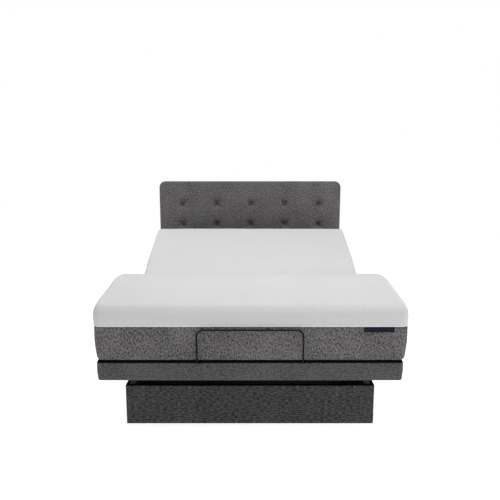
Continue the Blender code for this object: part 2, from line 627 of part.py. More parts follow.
def main():
    for obj in list(bpy.data.objects):
        bpy.data.objects.remove(obj, do_unlink=True)
    mats = {name: make_material(name) for name in PALETTE}
    frames = hinge_frames()
    build_plinth(frames["bed"], mats)
    build_frame(frames["bed"], mats)
    build_deck(frames, mats)
    build_mattress(frames, mats)
    build_lifts(frames, mats)
    build_headboard(frames["bed"], mats)
    build_retainer_bar(frames["calf"], mats)
    centre_lengthways(frames["bed"])


main()
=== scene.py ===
"""Looks of the adjustable bed: upholstery, mattress, finishes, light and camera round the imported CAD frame."""
import json
import math
from itertools import product
import bpy
import numpy as np
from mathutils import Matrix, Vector


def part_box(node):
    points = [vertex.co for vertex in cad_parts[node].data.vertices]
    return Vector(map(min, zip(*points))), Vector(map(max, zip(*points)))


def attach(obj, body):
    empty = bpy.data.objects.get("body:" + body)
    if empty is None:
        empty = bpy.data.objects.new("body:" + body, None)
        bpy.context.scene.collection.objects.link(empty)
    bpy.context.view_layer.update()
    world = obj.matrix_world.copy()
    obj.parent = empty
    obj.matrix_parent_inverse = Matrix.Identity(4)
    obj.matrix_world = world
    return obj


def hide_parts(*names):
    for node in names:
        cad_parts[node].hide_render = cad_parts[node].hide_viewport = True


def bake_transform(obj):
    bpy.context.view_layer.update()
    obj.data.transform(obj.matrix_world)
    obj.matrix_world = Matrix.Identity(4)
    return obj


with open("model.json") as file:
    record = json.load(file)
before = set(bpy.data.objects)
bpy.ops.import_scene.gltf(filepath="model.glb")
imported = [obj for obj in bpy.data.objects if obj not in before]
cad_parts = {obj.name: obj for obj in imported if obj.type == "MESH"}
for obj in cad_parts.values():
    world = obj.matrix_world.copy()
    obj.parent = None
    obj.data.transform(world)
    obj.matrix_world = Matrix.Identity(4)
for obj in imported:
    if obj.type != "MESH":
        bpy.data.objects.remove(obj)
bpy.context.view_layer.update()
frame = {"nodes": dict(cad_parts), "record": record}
BEHAVIOUR = frame["record"]["behaviour"]
JOINTS = {joint["name"]: joint for joint in BEHAVIOUR["joints"]}
RATIOS = {link["joint"]: link["ratio"] for link in BEHAVIOUR["couplings"]}

# ---------------- sizes, in metres

# Mattress
MATTRESS_STEP = 0.0125
MATTRESS_CORNER = 0.038
TOP_EDGE_IN, TOP_EDGE_DROP = 0.037, 0.046
HEAD_EDGE_SHARE = 0.4
FOOT_ROLL, FOOT_ROLL_REACH = 0.021, 0.12
BASE_EDGE_IN, BASE_EDGE_UP = 0.017, 0.021
SIDE_SPARE, SIDE_SHIFT = 0.0075, 0.004
BORDER_HEIGHT = 0.186
BORDER_TAPER = 0.003
BORDER_SWELL = 0.0035
BAND_SWELL = 0.002
HEAD_LOFT = 0.008
HEAD_TAPER, TAPER_AT_BASE = 0.014 / 0.77, 0.35
SEAM_DEPTH = 0.0016
SEAM_REACH = 0.0035
PIPING_RADIUS = 0.003
TAG_CENTRE_X, TAG_WIDTH, TAG_HEIGHT = 0.627, 0.15, 0.029
FOLD_PITCH, FOLD_WANDER = 0.043, 0.012
FOLD_ON_TOP, FOLD_ON_BORDER = 0.0016, 0.0012
# Half lengths of the mattress's bends, before and past the hinge: on the deck side, then on the sleeping side
HEAD_BEND = ((0.035, 0.035), (0.19, 0.3))
HIP_BEND = ((0.035, 0.035), (0.19, 0.212))
KNEE_BEND = ((0.04, 0.04), (0.2, 0.17))
HEAD_FOLLOW, CALF_FOLLOW = 0.27, 0.19

# Deck
PAD_STEP = 0.0125
PAD_CORNER, PAD_EDGE, PAD_BASE_EDGE = 0.018, 0.013, 0.006
PAD_SWELL = 0.0018
# Past this angle the upper edge and top of a deck pad or plinth panel are near-black cloth. On the deck this is
# grip cloth, darkened further as painted shade for the gap under the mattress. On the plinth it is painted shade
# alone.
GRIP_AND_SHADE_FROM = 0.45
BOARD_DEPTH, BOARD_MARGIN, BOARD_WALL = 0.0186, 0.0445, 0.0004
BAR_GROOVE, BAR_GROOVE_DEPTH, BAR_GROOVE_END = 0.006, 0.0095, 0.012

# Plinth
PANEL_CORNER, PANEL_EDGE = 0.007, 0.0035
PANEL_STEP = 0.016
DUST_SHEET_GAP, DUST_SHEET_UP, DUST_SHEET_SAG, DUST_SHEET_SLOPE = 0.0008, 0.0085, 0.003, 0.35

# Headboard
HEADBOARD_STEP = 0.0055
HEADBOARD_CORNER, HEADBOARD_EDGE, HEADBOARD_BACK_EDGE = 0.05, 0.02, 0.004
HEADBOARD_SWELL = 0.0015
HEADBOARD_CROWN, CROWN_REACH, FACE_REACH = 0.004, 0.16, 0.006
TUFT_PITCH = 0.2885
TUFT_COLUMNS = tuple(0.004 + TUFT_PITCH * i for i in (-2, -1, 0, 1, 2))
TUFT_DROPS = (0.1875, 0.3625, 0.5375)
TUFT_DEPTH, TUFT_RADIUS, TUFT_LINES = 0.033, 0.0175, (-0.0045, 0, 0.0045)
# Folds pulled from a tuft: heading in degrees, share of the length, share of the depth
PULLS = (*((heading, 1.0, 1.0) for heading in (38, 142, 218, 322)), (90, 0.6, 0.5), (270, 0.6, 0.5))
PULL_LENGTH, PULL_DEPTH = (0.055, 0.085), (0.0065, 0.0095)
HOLLOW_DEPTH, HOLLOW_RADIUS = 0.0115, 0.054
BUTTON_SEAT = 0.92
HEADBOARD_SPARE, HEADBOARD_SHORT = 0.005, 0.006
BUTTON_RADIUS, BUTTON_RISE = 0.0085, 0.004
BACK_EDGE, BACK_HEM = 0.003, 0.045

# Rumples in the cloth: (height, cell, seed) for each layer. They fade out within the calm distances of an edge.
MATTRESS_RUMPLE = ((0.0016, 0.16, 3), (0.0008, 0.055, 4))
PAD_RUMPLE = ((0.0009, 0.09, 11), (0.0005, 0.03, 12))
PANEL_RUMPLE, PANEL_PULL = ((0.0005, 0.11, 21), (0.0003, 0.035, 22)), 0.0002
HEADBOARD_RUMPLE = ((0.0008, 0.1, 33), (0.0004, 0.035, 34))
DUST_SHEET_RUMPLE = ((0.0008, 0.12, 51),)
SEAM_CALM, BASE_CALM, PAD_CALM, PANEL_CALM = 0.03, 0.05, 0.02, 0.03

# Retainer bar
BAR_RADIUS = 0.004
BAR_BEND, BAR_FOOT_BEND = 0.034, 0.011

# Camera, and the lights' (place, target, size, power)
CAMERA_HEIGHT, CAMERA_AHEAD, CAMERA_PITCH, CAMERA_LENS = 1.433, 2.5555, 9.57, 39.22
LIGHTS = {
    "key_light": ((0.55, -1.5, 3.5), (0.1, -0.3, 0.5), (3.4, 3.0), 65),
    "top_light": ((-1.1, 0.8, 4.0), (-0.2, 0.4, 0.5), (4.0, 3.6), 70),
    "side_light": ((4.2, -2.2, 1.9), (0.0, 0.0, 0.6), (2.2, 1.8), 42),
    "rear_light": ((-0.6, 3.6, 3.2), (0.0, 0.2, 0.6), (3.0, 2.0), 18),
}
FLOOR_HALF = 14.0
AMBIENT, BACKDROP = 0.26, 1.0


# ---------------- bed pose


def turned(points, pivot, angle):
    """Points turned about the line along X through pivot. angle is one number or one per point."""
    y, z = points[:, 1] - pivot[1], points[:, 2] - pivot[2]
    c, s = np.cos(angle), np.sin(angle)
    return np.stack([points[:, 0], pivot[1] + y * c - z * s, pivot[2] + y * s + z * c], axis=1)


HEAD_AXIS, HIP_AXIS, KNEE_AXIS = (np.array(JOINTS[name]["pos_m"], float) for name in ("head", "thigh", "knee"))
HEAD_TURN = math.radians(-JOINTS["head"]["range_deg"][0])
HIP_TURN = math.radians(JOINTS["thigh"]["range_deg"][0])
KNEE_TURN = -HIP_TURN * RATIOS["knee"]
KNEE_FLAT = turned(KNEE_AXIS[None], HIP_AXIS, -HIP_TURN)[0]


def to_rest(points, section):
    """Points of a section drawn flat, moved to the stored pose."""
    if section == "head":
        return turned(points, HEAD_AXIS, HEAD_TURN)
    if section == "calf":
        points = turned(points, KNEE_FLAT, KNEE_TURN)
    return turned(points, HIP_AXIS, HIP_TURN) if section in ("thigh", "calf") else points


def flat_box(node, section):
    """The box of a CAD node once its section is turned back to flat."""
    points = np.array([v.co for v in frame["nodes"][node].data.vertices], float)
    if section == "head":
        points = turned(points, HEAD_AXIS, -HEAD_TURN)
    if section in ("thigh", "calf"):
        points = turned(points, HIP_AXIS, -HIP_TURN)
    if section == "calf":
        points = turned(points, KNEE_FLAT, -KNEE_TURN)
    return points.min(axis=0), points.max(axis=0)


# ---------------- shapes


def spaced(low, high, step, extra=()):
    """Even steps from low to high, with the extra places put in and close neighbours left out."""
    lines = list(np.linspace(low, high, max(1, math.ceil((high - low) / step)) + 1))
    for place in extra:
        lines = [v for v in lines if abs(v - place) > step * 0.3 or v in (low, high)]
        lines.append(place)
    return np.array(sorted(set(lines)))


def ease(t):
    """Smooth step from 0 to 1."""
    t = np.clip(t, 0, 1)
    return t * t * (3 - 2 * t)


def noise(points, cell, seed):
    """Smooth random values from -1 to 1 that change over about one cell."""
    table = np.random.default_rng(seed).uniform(-1, 1, 4096)
    place = np.asarray(points, float) / cell
    base = np.floor(place).astype(np.int64)
    part = ease(place - base)
    total = np.zeros(len(place))
    for corner in product((0, 1), repeat=3):
        step = np.array(corner)
        key = ((base + step) @ np.array([7919, 104729, 1299709])) & 4095
        total += np.prod(np.where(step == 1, part, 1 - part), axis=1) * table[key]
    return total


def rumple(points, layers):
    """Noise layers (height, cell, seed) added up."""
    return sum(height * noise(points, cell, seed) for height, cell, seed in layers)


def from_rim(points, low, high):
    """How far inside a rectangle each point is, by its first two coordinates."""
    return np.minimum(points[:, :2] - low, high - points[:, :2]).min(axis=1)


class Shell:
    """A mesh in the making: flat vertices, faces, a tag for each face, and texture places in metres."""

    def __init__(self):
        self.points, self.faces, self.tags, self.places = [], [], [], []

    def face(self, corners, tag, places):
        self.faces.append(corners)
        self.tags.append(tag)
        self.places.append(places)


def rim_route(lines_x, lines_y, steps=8):
    """Round a rounded rectangle, counter-clockwise: (column, row, outward direction) for each place."""
    last_x, last_y = len(lines_x) - 1, len(lines_y) - 1
    runs = [([(i, 0) for i in range(last_x + 1)], -90), ([(last_x, j) for j in range(last_y + 1)], 0),
            ([(i, last_y) for i in range(last_x, -1, -1)], 90), ([(0, j) for j in range(last_y, -1, -1)], 180)]
    route = []
    for places, angle in runs:
        route += [(i, j, math.radians(angle)) for i, j in places]
        route += [(*places[-1], math.radians(angle + 90 * k / steps)) for k in range(1, steps)]
    return route


def pillow(low, high, corner, profile, step, extra_x=(), extra_y=(), base=True, squared=None):
    """A box with rounded upright corners. profile lists (height, inset, tag) from the base up.

    The base and the top are grids. squared is a function of the outward direction that pushes a corner out.
    """
    lines_x = spaced(low[0] + corner, high[0] - corner, step, extra_x)
    lines_y = spaced(low[1] + corner, high[1] - corner, step, extra_y)
    route = rim_route(lines_x, lines_y)
    anchor = np.array([(lines_x[i], lines_y[j]) for i, j, _ in route])
    out = np.array([(math.cos(a), math.sin(a)) for _, _, a in route])
    push = np.array([squared(a) if squared else 1.0 for _, _, a in route])[:, None]
    full = anchor + out * corner
    strides = np.linalg.norm(np.diff(np.vstack([full, full[:1]]), axis=0), axis=1)
    around = np.concatenate([[0], np.cumsum(strides)])

    shell, count = Shell(), len(route)
    for height, inset, _ in profile:
        ring = anchor + out * (corner - inset) * push
        shell.points += [(x, y, height) for x, y in ring]
    for k, (row, above) in enumerate(zip(profile, profile[1:])):
        for i in range(count):
            j = (i + 1) % count
            u, v = around[i], around[i + 1]
            shell.face((k * count + i, k * count + j, (k + 1) * count + j, (k + 1) * count + i), above[2],
                       ((u, row[0]), (v, row[0]), (v, above[0]), (u, above[0])))

    columns, rows = len(lines_x), len(lines_y)
    for is_top in (False, True):
        if not is_top and not base:
            continue
        height, _, tag = profile[-1] if is_top else profile[0]
        tag = tag if is_top else "base"
        start = len(shell.points)
        shell.points += [(x, y, height) for y in lines_y for x in lines_x]
        ring = (len(profile) - 1) * count if is_top else 0

        def add(corners):
            corners = corners if is_top else corners[::-1]
            shell.face(tuple(corners), tag, tuple(tuple(shell.points[c][:2]) for c in corners))

        for j in range(rows - 1):
            for i in range(columns - 1):
                first = start + j * columns + i
                add([first, first + 1, first + columns + 1, first + columns])
        for i in range(count):
            j = (i + 1) % count
            near = start + route[i][1] * columns + route[i][0]
            ahead = start + route[j][1] * columns + route[j][0]
            add([ring + i, ring + j, ahead, near] if near != ahead else [ring + i, ring + j, near])
    shell.points = np.array(shell.points, float)
    return shell


def square_foot(angle):
    """For pillow: pushes the two corners on the low side of the second axis out to nearly square."""
    if math.sin(angle) >= 0:
        return 1.0
    return (1 / max(abs(math.cos(angle)), abs(math.sin(angle)))) ** 0.85


def square_head(angle):
    """For pillow: the same for the two corners on the high side."""
    return square_foot(-angle)


def tube(path, radius, sides=12, closed=False):
    """A round tube along points whose neighbours are close together. The ends of an open tube are capped."""
    path = np.asarray(path, float)
    ahead, back = np.roll(path, -1, axis=0), np.roll(path, 1, axis=0)
    if not closed:
        ahead[-1], back[0] = path[-1], path[0]
    along = ahead - back
    along /= np.linalg.norm(along, axis=1)[:, None]
    side = np.cross(along[0], (0.3, 0.2, 1.0))
    shell, points, length = Shell(), [], 0.0
    lengths = [0.0]
    for k, (centre, forward) in enumerate(zip(path, along)):
        side = side - forward * (side @ forward)
        side /= np.linalg.norm(side)
        up = np.cross(forward, side)
        for i in range(sides):
            angle = 2 * math.pi * i / sides
            points.append(centre + radius * (side * math.cos(angle) + up * math.sin(angle)))
        length += np.linalg.norm(ahead[k] - centre)
        lengths.append(length)
    count = len(path)
    for k in range(count if closed else count - 1):
        n = (k + 1) % count
        for i in range(sides):
            j = (i + 1) % sides
            u, v = 2 * math.pi * radius * i / sides, 2 * math.pi * radius * (i + 1) / sides
            shell.face((k * sides + i, k * sides + j, n * sides + j, n * sides + i), "tube",
                       ((u, lengths[k]), (v, lengths[k]), (v, lengths[k + 1]), (u, lengths[k + 1])))
    if not closed:
        for ring, step in ((0, -1), ((count - 1) * sides, 1)):
            corners = [ring + i for i in range(sides)][::step]
            shell.face(tuple(corners), "tube", ((0, 0),) * sides)
    shell.points = np.array(points)
    return shell


def joined(shells):
    """Several shells as one."""
    whole, count = Shell(), 0
    for shell in shells:
        whole.faces += [tuple(c + count for c in corners) for corners in shell.faces]
        whole.tags += shell.tags
        whole.places += shell.places
        count += len(shell.points)
    whole.points = np.vstack([shell.points for shell in shells])
    return whole


def make_mesh(name, shell, placed, materials, keep=None):
    """An object from the shell's faces that keep picks. placed holds the vertices where they belong."""
    chosen = [i for i in range(len(shell.faces)) if keep is None or keep[i]]
    used = sorted({c for i in chosen for c in shell.faces[i]})
    number = {c: n for n, c in enumerate(used)}
    mesh = bpy.data.meshes.new(name)
    faces = [[number[c] for c in shell.faces[i]] for i in chosen]
    mesh.from_pydata([tuple(p) for p in placed[used]], [], faces)
    layer = mesh.uv_layers.new(name="UVMap")
    layer.data.foreach_set("uv", [v for i in chosen for place in shell.places[i] for v in place])
    flat = mesh.attributes.new("cloth", "FLOAT_VECTOR", "POINT")
    flat.data.foreach_set("vector", shell.points[used].astype(np.float32).ravel())
    tags = list(materials)
    for tag in tags:
        mesh.materials.append(materials[tag])
    mesh.polygons.foreach_set("material_index", [tags.index(shell.tags[i]) for i in chosen])
    mesh.shade_smooth()
    mesh.update()
    obj = bpy.data.objects.new(name, mesh)
    bpy.context.scene.collection.objects.link(obj)
    return obj


def normals(shell, points):
    """A unit normal for each vertex."""
    total = np.zeros_like(points)
    quads = np.array([f if len(f) == 4 else (*f, f[-1]) for f in shell.faces if len(f) <= 4])
    cross = np.cross(points[quads[:, 2]] - points[quads[:, 0]], points[quads[:, 3]] - points[quads[:, 1]])
    for corner in range(4):
        np.add.at(total, quads[:, corner], cross)
    return total / np.maximum(np.linalg.norm(total, axis=1), 1e-12)[:, None]


# ---------------- materials


class Graph:
    """A short way to write a material's nodes. A call adds a node and returns its first output."""

    def __init__(self, name):
        self.material = bpy.data.materials.new(name)
        self.material.use_nodes = True
        self.tree = self.material.node_tree
        self.tree.nodes.clear()
        self.shader = self.tree.nodes.new("ShaderNodeBsdfPrincipled")
        output = self.tree.nodes.new("ShaderNodeOutputMaterial")
        self.tree.links.new(self.shader.outputs[0], output.inputs[0])
        self.cloth = self.add("Attribute", attribute_name="cloth", output="Vector")
        self.uv = self.add("UVMap", uv_map="UVMap")
        self.world = self.add("TexCoord", output="Object")

    def add(self, kind, output=0, sockets=None, **settings):
        node = self.tree.nodes.new("ShaderNode" + kind)
        for name, value in settings.items():
            setattr(node, name, value)
        for key, value in (sockets or {}).items():
            self.put(node.inputs[key], value)
        return node.outputs[output]

    def put(self, socket, value):
        if isinstance(value, bpy.types.NodeSocket):
            self.tree.links.new(value, socket)
        else:
            socket.default_value = value

    def math(self, operation, *values):
        return self.add("Math", operation=operation, sockets=dict(enumerate(values)))

    def times(self, first, second):
        return self.math("MULTIPLY", first, second)

    def scaled(self, vector, scale, turn=0.0):
        return self.add("Mapping", sockets={"Vector": vector, "Scale": scale, "Rotation": (0, 0, turn)})

    def noise(self, vector, scale, detail=2.0, rough=0.5):
        return self.add("TexNoise", sockets={"Vector": vector, "Scale": scale, "Detail": detail,
                                             "Roughness": rough})

    def ramp(self, factor, stops):
        socket = self.add("ValToRGB", sockets={"Fac": factor})
        ramp = socket.node.color_ramp
        while len(ramp.elements) < len(stops):
            ramp.elements.new(0.5)
        for element, (place, colour) in zip(ramp.elements, stops):
            element.position = place
            element.color = (*colour, 1) if len(colour) == 3 else colour
        return socket

    def grey_ramp(self, factor, stops):
        return self.ramp(factor, [(place, (value, value, value)) for place, value in stops])

    def mix(self, factor, first, second, blend="MIX"):
        node = self.tree.nodes.new("ShaderNodeMix")
        node.data_type, node.blend_type = "RGBA", blend
        for key, value in ((0, factor), (6, first), (7, second)):
            colour = not isinstance(value, (bpy.types.NodeSocket, float, int)) and len(value) == 3
            self.put(node.inputs[key], (*value, 1) if colour else value)
        return node.outputs[2]

    def bump(self, layers):
        """Heights in metres laid over each other, the coarsest first."""
        normal = None
        for height, depth in layers:
            sockets = {"Height": height, "Distance": depth, "Strength": 1.0}
            if normal is not None:
                sockets["Normal"] = normal
            normal = self.add("Bump", sockets=sockets)
        return normal

    def finish(self, **inputs):
        for key, value in inputs.items():
            name = key.replace("_", " ")
            name = {"Specular": "Specular IOR Level"}.get(name, name)
            value = (*value, 1) if isinstance(value, tuple) else value
            self.put(self.shader.inputs[name], value)
        return self.material


def weave(graph, pitch_u, pitch_v):
    """Height of the threads of a plain weave, from the texture places."""
    split = graph.add("SeparateXYZ", sockets={"Vector": graph.uv}).node
    u = graph.math("SINE", graph.times(split.outputs[0], math.pi / pitch_u))
    v = graph.math("SINE", graph.times(split.outputs[1], math.pi / pitch_v))
    over = graph.math("GREATER_THAN", graph.times(u, v), 0.0)
    first = graph.times(graph.math("ABSOLUTE", u), over)
    second = graph.times(graph.math("ABSOLUTE", v), graph.math("SUBTRACT", 1.0, over))
    return graph.math("ADD", first, second)


def melange(name, dark, light, speck, stretch, pitch, turn=0.0, contrast=(0.36, 0.64), patch=0.35, rough=0.92):
    """Heathered cloth: specks of dark and light yarn, of a given size and stretch, on a plain weave."""
    graph = Graph(name)
    lie = graph.scaled(graph.uv, (1 / speck * stretch[0], 1 / speck * stretch[1], 1.0), turn)
    yarn = graph.noise(lie, 1.0, 3.0, 0.62)
    threads = graph.noise(graph.scaled(graph.uv, (1 / pitch / 1.7, 1 / pitch * 0.5, 1.0)), 1.0, 1.0)
    cross = graph.noise(graph.scaled(graph.uv, (1 / pitch * 0.5, 1 / pitch / 1.7, 1.0)), 1.0, 1.0)
    wide = graph.noise(graph.cloth, 9.0, 2.0)
    fine = graph.times(graph.math("ADD", threads, cross), 0.5)
    blend = graph.math("ADD", graph.times(yarn, 0.62), graph.times(fine, 0.38))
    blend = graph.math("ADD", blend, graph.times(graph.math("SUBTRACT", wide, 0.5), patch * 0.3))
    height = weave(graph, pitch, pitch)
    middle = tuple((d + l) / 2 * 0.92 for d, l in zip(dark, light))
    colour = graph.ramp(blend, [(contrast[0], dark), (0.5, middle), (contrast[1], light)])
    shade = graph.grey_ramp(height, [(0.0, 0.62), (0.6, 1.0)])
    colour = graph.mix(1.0, colour, shade, "MULTIPLY")
    normal = graph.bump([(yarn, 0.001), (height, pitch * 0.3)])
    return graph.finish(Base_Color=colour, Roughness=rough, Specular=0.25, Normal=normal, Sheen_Weight=0.12,
                        Sheen_Roughness=0.5, Sheen_Tint=(0.79, 0.75, 0.77))


def cover_material():
    """White stretch knit: fine ribs with a faint mottle."""
    graph = Graph("cover_knit")
    ribs = weave(graph, 0.0016, 0.0011)
    mottle = graph.noise(graph.scaled(graph.cloth, (1.0, 0.55, 1.0)), 70.0, 4.0, 0.6)
    streak = graph.noise(graph.scaled(graph.cloth, (150.0, 22.0, 22.0)), 1.0, 2.0)
    wide = graph.noise(graph.cloth, 5.0, 2.0)
    tone = graph.math("ADD", graph.times(mottle, 0.55), graph.times(streak, 0.45))
    colour = graph.ramp(tone, [(0.3, (0.651, 0.638, 0.644)), (0.5, (0.673, 0.66, 0.665)),
                               (0.7, (0.689, 0.676, 0.68))])
    # The hollows between the ribs are darkened by up to 7%: painted shade
    colour = graph.mix(1.0, colour, graph.grey_ramp(ribs, [(0.0, 0.93), (0.5, 1.0)]), "MULTIPLY")
    colour = graph.mix(1.0, colour, graph.grey_ramp(wide, [(0.3, 0.985), (0.7, 1.0)]), "MULTIPLY")
    normal = graph.bump([(mottle, 0.0004), (streak, 0.0003), (ribs, 0.0003)])
    return graph.finish(Base_Color=colour, Roughness=0.88, Specular=0.3, Normal=normal, Sheen_Weight=0.25,
                        Sheen_Roughness=0.45, Sheen_Tint=(1.0, 1.0, 1.0))


def cord_material():
    """Twisted white piping cord."""
    graph = Graph("piping_cord")
    lie = graph.scaled(graph.uv, (90.0, 260.0, 1.0), 0.7)
    twist = graph.add("TexWave", sockets={"Vector": lie, "Scale": 1.0})
    # The grooves of the twist are painted darker: painted shade
    colour = graph.grey_ramp(twist, [(0.0, 0.8), (0.6, 0.93)])
    normal = graph.bump([(twist, 0.0004)])
    return graph.finish(Base_Color=colour, Roughness=0.75, Normal=normal, Sheen_Weight=0.2)


def tag_material():
    """Woven navy ribbon."""
    graph = Graph("navy_ribbon")
    height = weave(graph, 0.0009, 0.0006)
    fleck = graph.noise(graph.scaled(graph.uv, (900.0, 300.0, 1.0)), 1.0, 2.0)
    colour = graph.ramp(fleck, [(0.3, (0.0025, 0.0035, 0.01)), (0.7, (0.008, 0.0105, 0.026))])
    # The hollows of the weave are darkened by up to 40%: painted shade
    colour = graph.mix(1.0, colour, graph.grey_ramp(height, [(0.0, 0.6), (0.6, 1.0)]), "MULTIPLY")
    return graph.finish(Base_Color=colour, Roughness=0.6, Normal=graph.bump([(height, 0.0002)]), Specular=0.15)


def dust_cover_material(name, low, high, shine=0.3, sheen=0.1):
    """Black spunbond cloth with pressed dots: dust covers; the deck's top, whose near-black grip cloth is also
    painted shade for the gap under the mattress; and the top of the plinth panels, painted shade for the gap
    under the deck.
    """
    graph = Graph(name)
    dots = graph.add("TexVoronoi", sockets={"Vector": graph.uv, "Scale": 420.0, "Randomness": 0.15})
    fibres = graph.noise(graph.uv, 260.0, 5.0, 0.7)
    colour = graph.ramp(fibres, [(0.35, low), (0.65, high)])
    normal = graph.bump([(fibres, 0.0006), (dots, 0.0005)])
    return graph.finish(Base_Color=colour, Roughness=0.95, Specular=shine, Normal=normal, Sheen_Weight=sheen)


def plywood_material():
    """Dark-stained birch plywood: long grain, fine pores and the bands of the plies."""
    graph = Graph("birch_plywood")
    long = graph.scaled(graph.world, (1.2, 26.0, 26.0))
    grain = graph.noise(long, 3.2, 6.0, 0.62)
    pores = graph.noise(graph.scaled(graph.world, (9.0, 420.0, 420.0)), 1.0, 3.0)
    bands = graph.add("TexWave", bands_direction="Z", sockets={"Vector": graph.world, "Scale": 90.0,
                                                               "Distortion": 0.6, "Detail": 1.0})
    colour = graph.ramp(grain, [(0.3, (0.085, 0.066, 0.048)), (0.5, (0.13, 0.104, 0.078)),
                                (0.7, (0.165, 0.135, 0.104))])
    colour = graph.mix(1.0, colour, graph.grey_ramp(pores, [(0.32, 0.72), (0.5, 1.0)]), "MULTIPLY")
    colour = graph.mix(1.0, colour, graph.grey_ramp(bands, [(0.2, 0.9), (0.6, 1.0)]), "MULTIPLY")
    rough = graph.grey_ramp(grain, [(0.3, 0.62), (0.7, 0.48)])
    normal = graph.bump([(grain, 0.0006), (pores, 0.0003)])
    return graph.finish(Base_Color=colour, Roughness=rough, Normal=normal)


def coated_steel(name, colour, gloss, peel, shine, dusty):
    """Powder-coated steel: orange peel, slight dust and rubbed edges. shine sets the gloss of its coat."""
    graph = Graph(name)
    skin = graph.noise(graph.world, 420.0, 2.0)
    dust = graph.noise(graph.world, 14.0, 5.0, 0.65)
    worn = graph.add("NewGeometry", output="Pointiness")
    edge = graph.grey_ramp(worn, [(0.52, 0.0), (0.6, 1.0)])
    film = graph.grey_ramp(dust, [(0.35, 0.0), (0.8, 1.0)])
    tone = graph.mix(film, colour, tuple(c * 1.5 + dusty for c in colour))
    tone = graph.mix(graph.times(edge, 0.45), tone, (0.16, 0.16, 0.165))
    rough = graph.grey_ramp(dust, [(0.3, gloss), (0.8, gloss + 0.16)])
    return graph.finish(Base_Color=tone, Roughness=rough, Normal=graph.bump([(skin, peel)]), Specular=shine,
                        Coat_Weight=0.15 * shine, Coat_Roughness=0.3)


def zinc_material():
    """Drawn steel rod: lines along it and a thin film of grease."""
    graph = Graph("bright_steel")
    lines = graph.noise(graph.scaled(graph.world, (900.0, 14.0, 900.0)), 1.0, 3.0)
    film = graph.noise(graph.world, 30.0, 4.0)
    colour = graph.ramp(film, [(0.3, (0.46, 0.46, 0.47)), (0.7, (0.6, 0.61, 0.62))])
    rough = graph.grey_ramp(lines, [(0.3, 0.22), (0.7, 0.4)])
    return graph.finish(Base_Color=colour, Roughness=rough, Metallic=1.0, Normal=graph.bump([(lines, 0.0002)]))


def plastic_material(name, low, high, rough, texture):
    """Moulded plastic with a fine spark-eroded texture."""
    graph = Graph(name)
    grain = graph.noise(graph.world, texture, 3.0, 0.6)
    cloud = graph.noise(graph.world, 22.0, 3.0)
    colour = graph.ramp(cloud, [(0.3, low), (0.7, high)])
    gloss = graph.grey_ramp(cloud, [(0.3, rough), (0.7, rough + 0.12)])
    return graph.finish(Base_Color=colour, Roughness=gloss, Normal=graph.bump([(grain, 0.0003)]))


def floor_material():
    """Seamless pale studio floor."""
    graph = Graph("studio_floor")
    cloud = graph.noise(graph.world, 0.8, 2.0)
    colour = graph.grey_ramp(cloud, [(0.3, 0.49), (0.7, 0.51)])
    return graph.finish(Base_Color=colour, Roughness=0.9, Specular=0.1, Emission_Color=(1.0, 1.0, 1.0),
                        Emission_Strength=0.875)


MATERIALS = {
    "cover": cover_material(),
    "piping": cord_material(),
    "tag": tag_material(),
    "dust": dust_cover_material("dust_cover", (0.01, 0.01, 0.011), (0.026, 0.026, 0.028)),
    # Near-black grip cloth, darker than a real black cloth: painted shade for the gaps under the mattress and
    # under the deck
    "grip": dust_cover_material("black_grip_cloth", (0.0012, 0.0012, 0.0014), (0.0034, 0.0034, 0.0038),
                                shine=0.08, sheen=0.0),
    "border": melange("border_melange", (0.015, 0.0138, 0.015), (0.286, 0.272, 0.275), 0.0074,
                      (1.0, 0.62), 0.0019, turn=0.7, contrast=(0.4, 0.62)),
    "deck": melange("deck_cloth", (0.0225, 0.0212, 0.0222), (0.184, 0.174, 0.177), 0.0078,
                    (0.6, 1.1), 0.0018, turn=0.2, contrast=(0.35, 0.67)),
    "plinth": melange("plinth_cloth", (0.0046, 0.004, 0.0046), (0.147, 0.139, 0.142), 0.0074,
                      (0.38, 1.2), 0.002, contrast=(0.42, 0.61), patch=0.2),
    "headboard": melange("headboard_cloth", (0.0305, 0.0285, 0.03), (0.249, 0.236, 0.239), 0.0094,
                         (1.0, 0.8), 0.002, contrast=(0.36, 0.66)),
}
FINISHES = {
    "plywood": plywood_material(),
    "frame_steel": coated_steel("powder_coat", (0.014, 0.014, 0.015), 0.42, 0.0004, shine=0.4, dusty=0.005),
    "bar_steel": coated_steel("bar_coat", (0.0015, 0.0015, 0.0017), 0.45, 0.0002, shine=0.08, dusty=0.0004),
    "bare_steel": zinc_material(),
    "nylon": plastic_material("white_nylon", (0.62, 0.61, 0.56), (0.74, 0.73, 0.69), 0.42, 500.0),
    "black_plastic": plastic_material("black_moulding", (0.013, 0.013, 0.014), (0.024, 0.024, 0.026),
                                      0.45, 900.0),
}


# ---------------- mattress


def bend_share(points, pivot_y, zones, direction, low, high):
    """0 before a bend and 1 past it, point by point. The bend is short on the deck side and long on top."""
    depth = ease((points[:, 2] - low) / (high - low))
    before = zones[0][0] + (zones[1][0] - zones[0][0]) * depth
    after = zones[0][1] + (zones[1][1] - zones[0][1]) * depth
    return ease(((points[:, 1] - pivot_y) * direction + before) / (before + after))


def mattress_to_rest(points, low, high):
    """The flat mattress bent over the four deck sections."""
    middle = (HEAD_AXIS[1] + HIP_AXIS[1]) / 2
    head = turned(points, HEAD_AXIS, HEAD_TURN * bend_share(points, HEAD_AXIS[1], HEAD_BEND, 1, low, high))
    hip_share = bend_share(points, HIP_AXIS[1], HIP_BEND, -1, low, high)
    knee_share = bend_share(points, KNEE_FLAT[1], KNEE_BEND, -1, low, high)
    foot = turned(turned(points, KNEE_FLAT, KNEE_TURN * knee_share), HIP_AXIS, HIP_TURN * hip_share)
    return np.where((points[:, 1] > middle)[:, None], head, foot)


